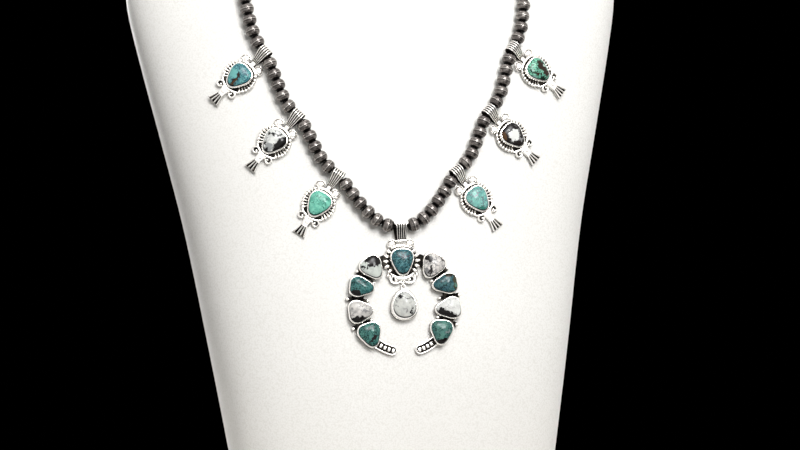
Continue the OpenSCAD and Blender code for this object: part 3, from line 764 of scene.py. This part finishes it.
def tail(body):
    """Short neck with a low ball, and a fan of four prongs that spread a little towards their cut ends."""
    def neck(u, v, w):
        y = -NECK_TOP - (FAN_START + 0.3 - NECK_TOP) * v
        half = TOP_HALF + (NECK_HALF - TOP_HALF) * math.sin(math.pi / 2 * v)
        crown = 0.55 * math.sqrt(max(0, 1 - (2 * u - 1) ** 2)) + 0.15
        return (2 * u - 1) * half, y, FLOOR + crown if w else BACK, 0.0 if w else BACK_OXIDE

    def fan(u, v, w):
        y = -FAN_START - (TAIL_END - FAN_START) * v
        half = NECK_HALF + (END_HALF - NECK_HALF) * v ** 1.3
        return (2 * u - 1) * half, y, FLOOR + 0.05 if w else BACK, BY_HEIGHT

    put(body, slab(10, 6, neck))
    put(body, slab(6, 6, fan))
    for k in (-1.5, -0.5, 0.5, 1.5):
        near = k * 2 * (NECK_HALF - 0.45) / 3
        far = k * 2 * (END_HALF - 0.5) / 3
        path = []
        for i in range(9):
            share = i / 8
            down = -FAN_START + 0.6 - (TAIL_END - FAN_START + 0.6) * share
            path.append((near + (far - near) * share ** 1.3, down, FLOOR + 0.25))
        put(body, by_height(wire(path, [0.3, 0.42, 0.44, 0.45, 0.47, 0.49, 0.51, 0.53, 0.52], 10, 1.25)))
    for side in (-1, 1):
        hook = [(side * x, y, FLOOR + rise) for x, y, rise in (
            (2.9, -29.6, 0.3), (2.5, -30.8, 0.35), (1.3, -31.5, 0.5), (0.3, -31.2, 0.6))]
        put(body, by_height(wire(hook, [0.3, 0.42, 0.36, 0.22], 8)))
    put(body, granule(0.95), Matrix.Translation((0, -32.74, FLOOR + 0.25)))


def hung(origin, up, out):
    """Where a pendant hangs: its drawing in millimetres, with y up to the bail and z away from the bust."""
    up, out = Vector(up), Vector(out)
    return stood(Vector(origin) / 1000, up.cross(out), up, out) @ FROM_MILLIMETRES


# Hole of the bail in millimetres, direction up to it and direction away from the bust, of the three blossoms
# on the right from the top down. Those on the left are the same, turned over to the other side.
BLOSSOMS = [
    ((74.4875, -34.1645, 281.318), (-0.7517, -0.0218645, 0.659143), (0.172746, -0.971083, 0.164791)),
    ((57.2913, -42.4405, 243.835), (-0.690501, 0.0115132, 0.72324), (0.12797, -0.982156, 0.137813)),
    ((35.4242, -49.0205, 208.677), (-0.580872, 0.0571593, 0.811985), (0.077993, -0.989034, 0.125417)),
]
drawing = shape()
put(drawing, bail(7.2, 0.55, BAIL_FOOT, False))
head(drawing)
side_bars(drawing)
tail(drawing)
put(drawing, bezel(BLOSSOM_STONE), ON_PLATE)
oxidise(drawing)
blossom_mesh = bpy.data.meshes.new("blossom")
drawing.to_mesh(blossom_mesh)
drawing.free()


def blossom_place(side, i):
    """Where the blossom with this number from the top hangs."""
    over = Matrix.Diagonal((-1 if side == "left" else 1, 1, 1)).to_3x3()
    return hung(*[over @ Vector(v) for v in BLOSSOMS[i - 1]])


for side in ("left", "right"):
    for i in (1, 2, 3):
        bm = bmesh.new()
        bm.from_mesh(blossom_mesh)
        bmesh.ops.transform(bm, matrix=blossom_place(side, i), verts=bm.verts)
        blossom = shown(f"blossom_silver_{side}_{i}", bm, silver_finish, "bust")
        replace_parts(blossom, f"blossom_{side}_{i}")
bpy.data.meshes.remove(blossom_mesh)

# The stones are cut and polished cabochons, held by their bezels: turquoise with brown and black matrix, and
# white stone with black bands. The attribute "face" keeps the place on a stone's face in millimetres, to the
# right and up as one stands before the bust, and "rim" the share of the way out to its edge.
STONE_EDGE = 2.45
STONE_DOME = 2.3


def stone_mesh(size, middle, place, name, finish, body, node):
    """A domed stone on the plate at the middle of its pendant's drawing, in the place of its CAD node."""
    profile = [(0, 0), (0.5, 0), (0.97, 0), (1, 0.1), (1, 1.2), (1, STONE_EDGE - 0.1),
               (0.99, STONE_EDGE + 0.12)]
    for angle in (14, 24, 34, 44, 54, 64, 73, 82):
        turn = math.radians(angle)
        profile.append((math.cos(turn) ** 0.85, STONE_EDGE + STONE_DOME * math.sin(turn)))
    profile.append((0, STONE_EDGE + STONE_DOME))
    bm = turned(profile, 64)
    face = bm.verts.layers.float_vector.new("face")
    rim = bm.verts.layers.float.new("rim")
    for v in bm.verts:
        v[rim] = math.hypot(v.co.x, v.co.y)
    to_outline(bm, size)
    bmesh.ops.recalc_face_normals(bm, faces=bm.faces)
    at = place @ Matrix.Translation((*middle, FLOOR + STONE_GAP))
    bmesh.ops.transform(bm, matrix=at, verts=bm.verts)
    centre = at @ Vector((0, 0, 0))
    for v in bm.verts:
        off = (v.co - centre) * 1000
        v[face] = (off.x, off.z, off.y)
    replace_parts(shown(name, bm, finish, body, 60), node)


def stone_finish(name, ground, second, vein, web, web_size, patches, flecks=0.0, cloud_size=330.0):
    """Polished stone: two ground colours in clouds, a web of fine veins, flecks, and patches of other
    colours on the face. A patch is (colour, right, up, half length, half width, turn). A painted shadow of
    the bezel darkens a thin line round the stone's edge, wider at the low side."""
    material, tree, shader = new_finish(name)
    here = object_place(tree)
    face = attribute(tree, "face", "Vector")
    cloud = spread(tree, speckle(tree, here, cloud_size, 5, 0.62), 0.4, 0.62)
    colour = blended(tree, cloud, ground, second)
    bent = pattern(tree, "Noise", face, {"Scale": 0.55, "Detail": 4}, "Color")
    swirled = worked_out(tree, "MULTIPLY_ADD", bent, (5, 5, 0), face, kind="VectorMath", output="Vector")
    cells = {"Scale": web_size / 1000}
    from_vein = pattern(tree, "Voronoi", swirled, cells, "Distance", feature="DISTANCE_TO_EDGE")
    line = spread(tree, from_vein, 0.01, 0.11, 1, 0)
    some = spread(tree, speckle(tree, here, 260, 2), 0.62 - 0.4 * web, 0.78 - 0.4 * web)
    colour = blended(tree, worked_out(tree, "MULTIPLY", line, some), colour, vein)
    if flecks > 0:
        grains = speckle(tree, here, 950, 3, 0.6)
        spots = spread(tree, grains, 0.66 - 0.12 * flecks, 0.74 - 0.12 * flecks)
        colour = blended(tree, spots, colour, vein)
    for tone, right, up, half_length, half_width, turn in patches:
        lay = tree.nodes.new("ShaderNodeMapping")
        lay.vector_type = "TEXTURE"
        lay.inputs["Location"].default_value = (right + 2.5, up + 2.5, 0)
        lay.inputs["Rotation"].default_value = (0, 0, math.radians(turn))
        lay.inputs["Scale"].default_value = (half_length, half_width, 1000)
        tree.links.new(swirled, lay.inputs["Vector"])
        reach = worked_out(tree, "LENGTH", lay.outputs["Vector"], kind="VectorMath")
        inside = spread(tree, reach, 0.9, 1.12, 1, 0)
        colour = blended(tree, inside, colour, tone)
    # Painted shadow of the bezel: a dark line round the edge, wider on the low side.
    low = worked_out(tree, "DOT_PRODUCT", face, (0, -0.01, 0), kind="VectorMath")
    bezel_shadow_reach = worked_out(tree, "ADD", attribute(tree, "rim"), low)
    edge = spread(tree, bezel_shadow_reach, 0.925, 0.965, 0, 0.95)
    colour = blended(tree, edge, colour, BLACK)
    tree.links.new(colour, shader.inputs["Base Color"])
    tree.links.new(spread(tree, cloud, 0, 1, 0.07, 0.16), shader.inputs["Roughness"])
    shader.inputs["Specular IOR Level"].default_value = 0.22
    dented(tree, shader, speckle(tree, here, 900, 2), 0.00002)
    return material


BLACK = (14, 12, 12)
GREY = (128, 127, 127)
BROWN = (82, 56, 32)
DARK_BROWN = (42, 30, 22)
WHITE = (226, 227, 223)
OFF_WHITE = (200, 201, 198)
DIM_GREEN = (58, 122, 108)
INK_GREEN = (10, 28, 30)

BLOSSOM_STONES = {
    ("left", 1): ("turquoise", stone_finish(
        "turquoise_brown_vein", (70, 128, 136), (112, 174, 172), (24, 60, 80), 1.0, 560,
        [((108, 172, 168), -4.4, 2.4, 2.2, 3.2, 20), (DARK_BROWN, -3.4, -2.8, 3.4, 1.1, 50),
         (DARK_BROWN, -0.9, 1.0, 2.4, 0.75, 75), (BROWN, -3.7, -3.3, 2.6, 0.5, 50)])),
    ("left", 2): ("white_stone", stone_finish(
        "white_black_bands", WHITE, OFF_WHITE, GREY, 0.3, 300,
        [((150, 152, 152), -4.3, -3.0, 2.6, 2.2, 60), (BLACK, 3.3, -2.6, 6.6, 3.7, 43),
         (BLACK, 0.4, 3.9, 3.6, 0.65, -16), (BLACK, -3.2, 5.0, 1.0, 0.55, 60),
         (BLACK, -4.9, -4.6, 1.5, 0.8, 60), (BLACK, -6.0, -0.6, 1.2, 0.45, 80)])),
    ("left", 3): ("pale_turquoise", stone_finish(
        "sea_green_flecked", (126, 202, 180), (98, 176, 154), DIM_GREEN, 0.5, 500,
        [(DIM_GREEN, -1.0, -6.4, 4.4, 1.0, 10)], 0.6)),
    # Its small pale patch at right 4.6 and up 2.6 is a painted highlight.
    ("right", 1): ("turquoise", stone_finish(
        "green_spider_web", (134, 208, 178), (98, 168, 144), BLACK, 1.0, 620,
        [(DARK_BROWN, 3.6, 1.2, 5.6, 2.1, -58), ((176, 196, 186), 4.6, 2.6, 1.0, 0.5, -50),
         ((120, 186, 158), 3.0, -0.6, 0.8, 0.4, -40), (DARK_BROWN, -0.9, -1.8, 2.9, 0.7, -15),
         ((20, 40, 30), 2.6, -4.7, 2.4, 1.0, 15), ((126, 170, 162), -2.8, -4.4, 2.2, 1.1, -20),
         (BLACK, -3.6, 3.4, 0.8, 0.6, 0), (BLACK, -4.4, 0.0, 0.8, 0.6, 70)], 0.6)),
    # Its two white patches in the middle are a painted reflection of a window.
    ("right", 2): ("white_stone", stone_finish(
        "black_with_painted_window_reflection", BLACK, (30, 25, 25), GREY, 0.25, 300,
        [(BROWN, -5.6, -1.2, 1.2, 3.8, 8), (WHITE, 0.6, 1.6, 3.1, 1.9, 6), (WHITE, 0.7, -0.8, 2.9, 2.2, 4),
         (GREY, 4.9, -2.4, 1.0, 1.3, 0)])),
    ("right", 3): ("pale_turquoise", stone_finish(
        "sea_green_violet_vein", (134, 198, 186), (98, 164, 156), (104, 116, 124), 0.9, 480,
        [((122, 140, 146), -0.6, 2.4, 2.2, 0.5, 20), (DIM_GREEN, 1.4, -5.6, 3.6, 1.0, 15)], 0.4)),
}
for side in ("left", "right"):
    for i in (1, 2, 3):
        slot, finish = BLOSSOM_STONES[(side, i)]
        stone_mesh(BLOSSOM_STONE, (0, -HEAD_DROP), blossom_place(side, i), f"stone_{side}_{i}", finish,
                   "bust", f"blossom_stone_{side}_{i}")

# The crescent pendant is soldered silver like the blossoms: a bail with a plain roll and a fluted skirt, a
# head with a column of silver drops down each side, and two curved arms with four bezels and a tip each.
RING_RADIUS = 27.2
RING_DROP = 44.8
RING_WIDTH = 14.0
RING_STONE = (12.8, 14.0)
RING_BEZEL = 0.6
TIP_WIDTH = 5.6
TIP_RADIUS = 28.0
TIP_FROM, TIP_TO = 140, 163
BUMP = (1.75, 2.3, 1.5)
BUMP_STEP = 5.227
STUD = 1.1
NAJA = hung((0, -53.9978, 177.637), (0, 0.132464, 0.991188), (0, -0.991188, 0.132464))
# Side, angle from the top, shares of the ring's radius and of a stone's width and length, and its turn
RING_STONES = [
    (-1, 39.4, 1.045, 1.00, 0.97, 305), (-1, 67.0, 1.007, 0.90, 1.00, 350),
    (-1, 97.8, 0.980, 1.00, 0.99, 5), (-1, 128.5, 0.985, 1.02, 1.00, 286),
    (1, 39.4, 1.045, 1.00, 1.02, 240), (1, 67.0, 1.007, 0.92, 1.02, 188),
    (1, 97.8, 0.980, 0.95, 1.04, 186), (1, 128.5, 0.985, 1.00, 1.00, 262),
]
EYE_RADIUS = 1.2
EYE_WIRE = 0.35
EYE_TOP = HEAD_DROP + HEAD_RADIUS * 1.2
EYE_HEIGHT = 1.3 + 2 * EYE_WIRE + BACK


def ring_stone(row):
    """Place and size of a stone of the crescent, from its row."""
    side, angle, reach, wide, long, turn = row
    angle = math.radians(side * angle)
    at = (math.sin(angle) * RING_RADIUS * reach, math.cos(angle) * RING_RADIUS * reach - RING_DROP)
    return at, (RING_STONE[0] * wide, RING_STONE[1] * long, turn + 90, OUTLINE_SWELL)


def wire_ring(radius):
    """Closed ring of round wire."""
    circle = [(radius + EYE_WIRE * math.cos(math.radians(a)), EYE_WIRE * math.sin(math.radians(a)))
              for a in range(0, 360, 30)]
    return blacken(turned(circle, 36, closed=True), lambda v: CLEAN)


def curved_bar(start, end, inner, outer, thick, steps):
    """Bar bent along the ring between two angles from the top."""
    def place(u, v, w):
        turn = math.radians(start + (end - start) * v)
        reach = inner + (outer - inner) * u
        return reach * math.sin(turn), reach * math.cos(turn), thick if w else 0, BY_HEIGHT

    return slab(4, steps, place)


def tip(body, ring):
    """Tip of an arm, a strip with a wire rim and four square bumps, on the side of the ring's own place."""
    top = 1.45
    half = TIP_WIDTH / 2
    strip = curved_bar(TIP_FROM, TIP_TO, TIP_RADIUS - half + 0.1, TIP_RADIUS + half - 0.1, top, 14)
    put(body, strip, ring)
    end = math.radians(TIP_TO)
    middle = (TIP_RADIUS * math.sin(end), TIP_RADIUS * math.cos(end))
    edge = half - 0.1
    disc = [(0, top), (half - 0.3, top), (edge, top - 0.2), (edge, 0.15), (half - 0.3, 0), (0, 0)]
    put(body, by_height(turned(disc, 30)), ring @ Matrix.Translation((*middle, 0)))
    rim = half - 0.35
    outline = [(math.radians(TIP_FROM + (TIP_TO - TIP_FROM) * k / 12), TIP_RADIUS + rim) for k in range(13)]
    path = [(r * math.sin(t), r * math.cos(t), top + 0.1) for t, r in outline]
    for k in range(1, 12):
        turn = math.pi / 2 - end - math.pi * k / 12
        path.append((middle[0] + rim * math.cos(turn), middle[1] + rim * math.sin(turn), top + 0.1))
    path += [((r - 2 * rim) * math.sin(t), (r - 2 * rim) * math.cos(t), top + 0.1) for t, r in outline[::-1]]
    put(body, by_height(wire(path, [0.42] * len(path), 10)), ring)
    for k in range(4):
        turn = math.radians(TIP_TO + 1 - k * BUMP_STEP)
        bump = shape()
        bmesh.ops.create_cube(bump, size=1)
        bmesh.ops.scale(bump, vec=BUMP, verts=bump.verts)
        bmesh.ops.bevel(bump, geom=bump.edges[:], offset=0.42, segments=3, affect="EDGES", profile=0.5,
                        material=-1)
        spot = Matrix.Translation((TIP_RADIUS * math.sin(turn), TIP_RADIUS * math.cos(turn), top + 0.25))
        put(body, by_height(bump), ring @ spot @ Matrix.Rotation(-turn, 4, "Z"))


silver = shape()
put(silver, bail(8.2, 0.66, (-10.4, FLOOR + 1.0), True))
head(silver)
put(silver, bezel(BLOSSOM_STONE), ON_PLATE)
broad_bow = arc((0, -HEAD_DROP), 10.2, 236, 304, 21, FLOOR + 0.3)
put(silver, by_height(wire(broad_bow, rounded(21, 1.55), 12, 0.7)))
for side in (-1, 1):
    for k in range(5):
        turn = math.radians(38 - 19 * k)
        drop_of_silver = [(r * math.cos(turn) * side, r * math.sin(turn) - HEAD_DROP, FLOOR + 0.4)
                          for r in (7.7, 8.1, 8.9, 9.9, 10.7, 11.1)]
        put(silver, by_height(wire(drop_of_silver, [0.5, 0.85, 1.08, 1.1, 0.85, 0.4], 12)))
    put(silver, granule(1.15), Matrix.Translation((side * 8.5, -8.4 - HEAD_DROP, FLOOR + 0.3)))
    scroll = [(7.1, -8.4), (7.45, -10.0), (6.9, -11.9), (5.3, -13.0), (3.4, -13.0), (2.0, -12.4),
              (1.0, -12.0)]
    path = [(side * x, y - HEAD_DROP, FLOOR + 0.35) for x, y in scroll]
    put(silver, by_height(wire(path, [0.3, 0.45, 0.55, 0.58, 0.55, 0.48, 0.34], 10)))
    ring = Matrix.Translation((0, -RING_DROP, BACK)) @ Matrix.Diagonal((side, 1, 1, 1))
    inner, outer = RING_RADIUS - RING_WIDTH / 4, RING_RADIUS + RING_WIDTH / 4
    put(silver, curved_bar(16, TIP_FROM + 1, inner, outer, PLATE, 60), ring)
    inner, outer = RING_RADIUS - RING_WIDTH / 2 + STUD, RING_RADIUS + RING_WIDTH / 2 - STUD
    wide = math.degrees(STUD / RING_RADIUS)
    for angle in (53.2, 83, 113.6):
        turn = math.radians(angle)
        put(silver, curved_bar(angle - wide, angle + wide, inner, outer, PLATE, 3), ring)
        for reach in (inner, outer):
            spot = (reach * math.sin(turn), reach * math.cos(turn))
            foot = [(0, PLATE), (0.95, PLATE), (STUD, 1.05), (STUD, 0.15), (0.95, 0), (0, 0)]
            put(silver, by_height(turned(foot, 20)), ring @ Matrix.Translation((*spot, 0)))
            put(silver, granule(STUD), ring @ Matrix.Translation((*spot, 1.45)))
    tip(silver, ring)
for row in RING_STONES:
    at, size = ring_stone(row)
    put(silver, bezel(size, PLATE, RING_BEZEL), Matrix.Translation((*at, FLOOR)))
put(silver, wire_ring(EYE_RADIUS), Matrix.Translation((0, -EYE_TOP, EYE_HEIGHT)))
put(silver, slab(6, 4, lambda u, v, w: (
    (2 * u - 1) * (1.9 - 0.8 * v), -28.7 - 2.1 * v,
    (EYE_HEIGHT + 0.35 - 0.5 * v + 0.3 * math.sin(math.pi * u)) if w else BACK + 0.05, 0.1)))
oxidise(silver)
bmesh.ops.transform(silver, matrix=NAJA, verts=silver.verts)
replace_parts(shown("crescent_silver", silver, silver_finish, "naja"), "naja")

# The stones of the crescent are cut and set as those of the blossoms are. They are named from the top down
# on each side, and one more lies in the head.
CRESCENT_STONES = {
    ("left", 1): ("white_stone", stone_finish(
        "white_black_top", (206, 212, 205), (188, 194, 188), GREY, 0.25, 300,
        [(BLACK, 0.6, 3.7, 5.4, 3.3, 6), (BLACK, -5.6, 0.4, 1.1, 0.9, 0), (BLACK, -2.9, 0.3, 1.5, 0.5, 50),
         ((206, 212, 205), -3.8, 1.6, 1.6, 0.4, 45)])),
    ("left", 2): ("turquoise", stone_finish(
        "green_dark_corner", (76, 128, 124), (48, 98, 98), INK_GREEN, 0.7, 560,
        [(BLACK, -3.4, -3.4, 2.9, 2.3, 0), (BLACK, 2.4, -4.4, 1.0, 0.6, 20)], 0.8)),
    ("left", 3): ("white_stone", stone_finish(
        "white_black_foot", (212, 208, 203), (180, 177, 174), GREY, 0.5, 360,
        [(BLACK, -0.8, -5.6, 6.4, 3.3, 4), (GREY, 2.6, 1.0, 1.2, 0.8, 0)])),
    ("left", 4): ("turquoise", stone_finish(
        "green_ink_streak", (78, 132, 122), (46, 96, 92), INK_GREEN, 0.8, 520,
        [(BLACK, 1.2, -2.6, 3.4, 0.9, 38), (BLACK, -2.8, -5.4, 1.6, 0.6, -30)], 0.8)),
    ("right", 1): ("white_stone", stone_finish(
        "white_grey_veins", (226, 222, 217), (196, 191, 187), GREY, 0.9, 420,
        [(BLACK, -3.0, 3.9, 2.4, 1.7, -25), ((46, 42, 42), -2.0, -2.8, 3.4, 0.9, 78),
         ((70, 66, 66), 4.4, 4.4, 3.6, 0.6, -48), (GREY, -4.2, -3.4, 1.2, 2.0, 0)])),
    ("right", 2): ("turquoise", stone_finish(
        "blue_brown_edge", (70, 112, 114), (50, 88, 98), INK_GREEN, 0.7, 520,
        [((62, 60, 44), 5.8, 1.4, 1.9, 4.8, -8), ((40, 38, 28), 2.6, 5.4, 3.2, 1.1, 8),
         ((84, 120, 104), 5.2, -0.2, 0.9, 1.3, 0)], 0.7)),
    ("right", 3): ("white_stone", stone_finish(
        "white_black_band", WHITE, (210, 210, 207), GREY, 0.3, 320,
        [(BLACK, -1.8, -4.6, 7.6, 3.4, -28), (BLACK, -5.0, 0.2, 1.3, 0.9, 0)])),
    ("right", 4): ("turquoise", stone_finish(
        "green_black_foot", (82, 128, 118), (56, 102, 98), INK_GREEN, 0.5, 480,
        [(BLACK, -0.4, -5.9, 4.8, 1.9, 6), ((110, 124, 124), 3.2, -0.4, 1.6, 0.7, 40)], 0.7)),
}
for row, key in zip(RING_STONES, [(side, i) for side in ("left", "right") for i in (1, 2, 3, 4)]):
    at, size = ring_stone(row)
    slot, finish = CRESCENT_STONES[key]
    stone_mesh(size, at, NAJA, "crescent_stone_%s_%d" % key, finish, "naja", "naja_stone_%s_%d" % key)
head_stone = stone_finish(
    "teal_dark_flecks", (46, 98, 108), (94, 144, 148), INK_GREEN, 0.9, 640,
    [((70, 72, 82), 1.2, 2.6, 3.6, 0.5, -2)], 1.0, 620)
stone_mesh(BLOSSOM_STONE, (0, -HEAD_DROP), NAJA, "crescent_stone_head", head_stone, "naja",
           "naja_stone_centre")

# The drop hangs inside the crescent: a white stone in its own silver bezel with an eye of wire, linked to
# the eye of the head by a small ring.
LINK_RADIUS = 1.3
LINK_GAP = 0.15
LINK_DROP = EYE_TOP + EYE_RADIUS - 2 * EYE_WIRE - LINK_GAP + LINK_RADIUS
DROP_EYE = LINK_DROP + LINK_RADIUS - 2 * EYE_WIRE - LINK_GAP + EYE_RADIUS
DROP_STONE = (13.8, 15.8, 180, 0.05)
DROP_BEZEL = 1.3
DROP_MIDDLE = DROP_EYE + EYE_RADIUS + (1 + DROP_STONE[3]) * (DROP_STONE[1] / 2 + DROP_BEZEL)
link = shape()
at_eyes = NAJA @ Matrix.Translation((0, -LINK_DROP, EYE_HEIGHT))
put(link, wire_ring(LINK_RADIUS), at_eyes @ Matrix.Rotation(math.pi / 2, 4, "Y"))
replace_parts(shown("drop_link", link, silver_finish, "naja"), "drop_ring")
cup = shape()
at_middle = Matrix.Translation((0, -DROP_MIDDLE, FLOOR))
put(cup, bezel(DROP_STONE, PLATE, DROP_BEZEL), at_middle)
floor_of_cup = [(0, 0), (0.5, 0), (1 + 0.3 / GROWTH, 0), (1 + 0.3 / GROWTH, -1.15), (0, -1.15)]
put(cup, by_height(to_outline(turned(floor_of_cup, 72), DROP_STONE)), at_middle)
put(cup, wire_ring(EYE_RADIUS), Matrix.Translation((0, -DROP_EYE, EYE_HEIGHT)))
oxidise(cup)
bmesh.ops.transform(cup, matrix=NAJA, verts=cup.verts)
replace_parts(shown("drop_cup", cup, silver_finish, "naja"), "drop_setting")
drop_finish = stone_finish(
    "white_small_spots", (206, 207, 201), (188, 189, 185), GREY, 0.4, 260,
    [(BLACK, -2.3, 5.3, 1.1, 0.75, 0), (BLACK, 1.4, 4.7, 1.6, 0.4, -10), (BLACK, 3.5, -2.9, 1.7, 0.5, 65),
     ((40, 40, 44), 4.5, 4.4, 1.4, 0.5, -40), ((60, 60, 62), 4.8, -1.6, 1.1, 0.35, 70)])
stone_mesh(DROP_STONE, (0, -DROP_MIDDLE), NAJA, "drop_cabochon", drop_finish, "naja",
           "drop_stone")
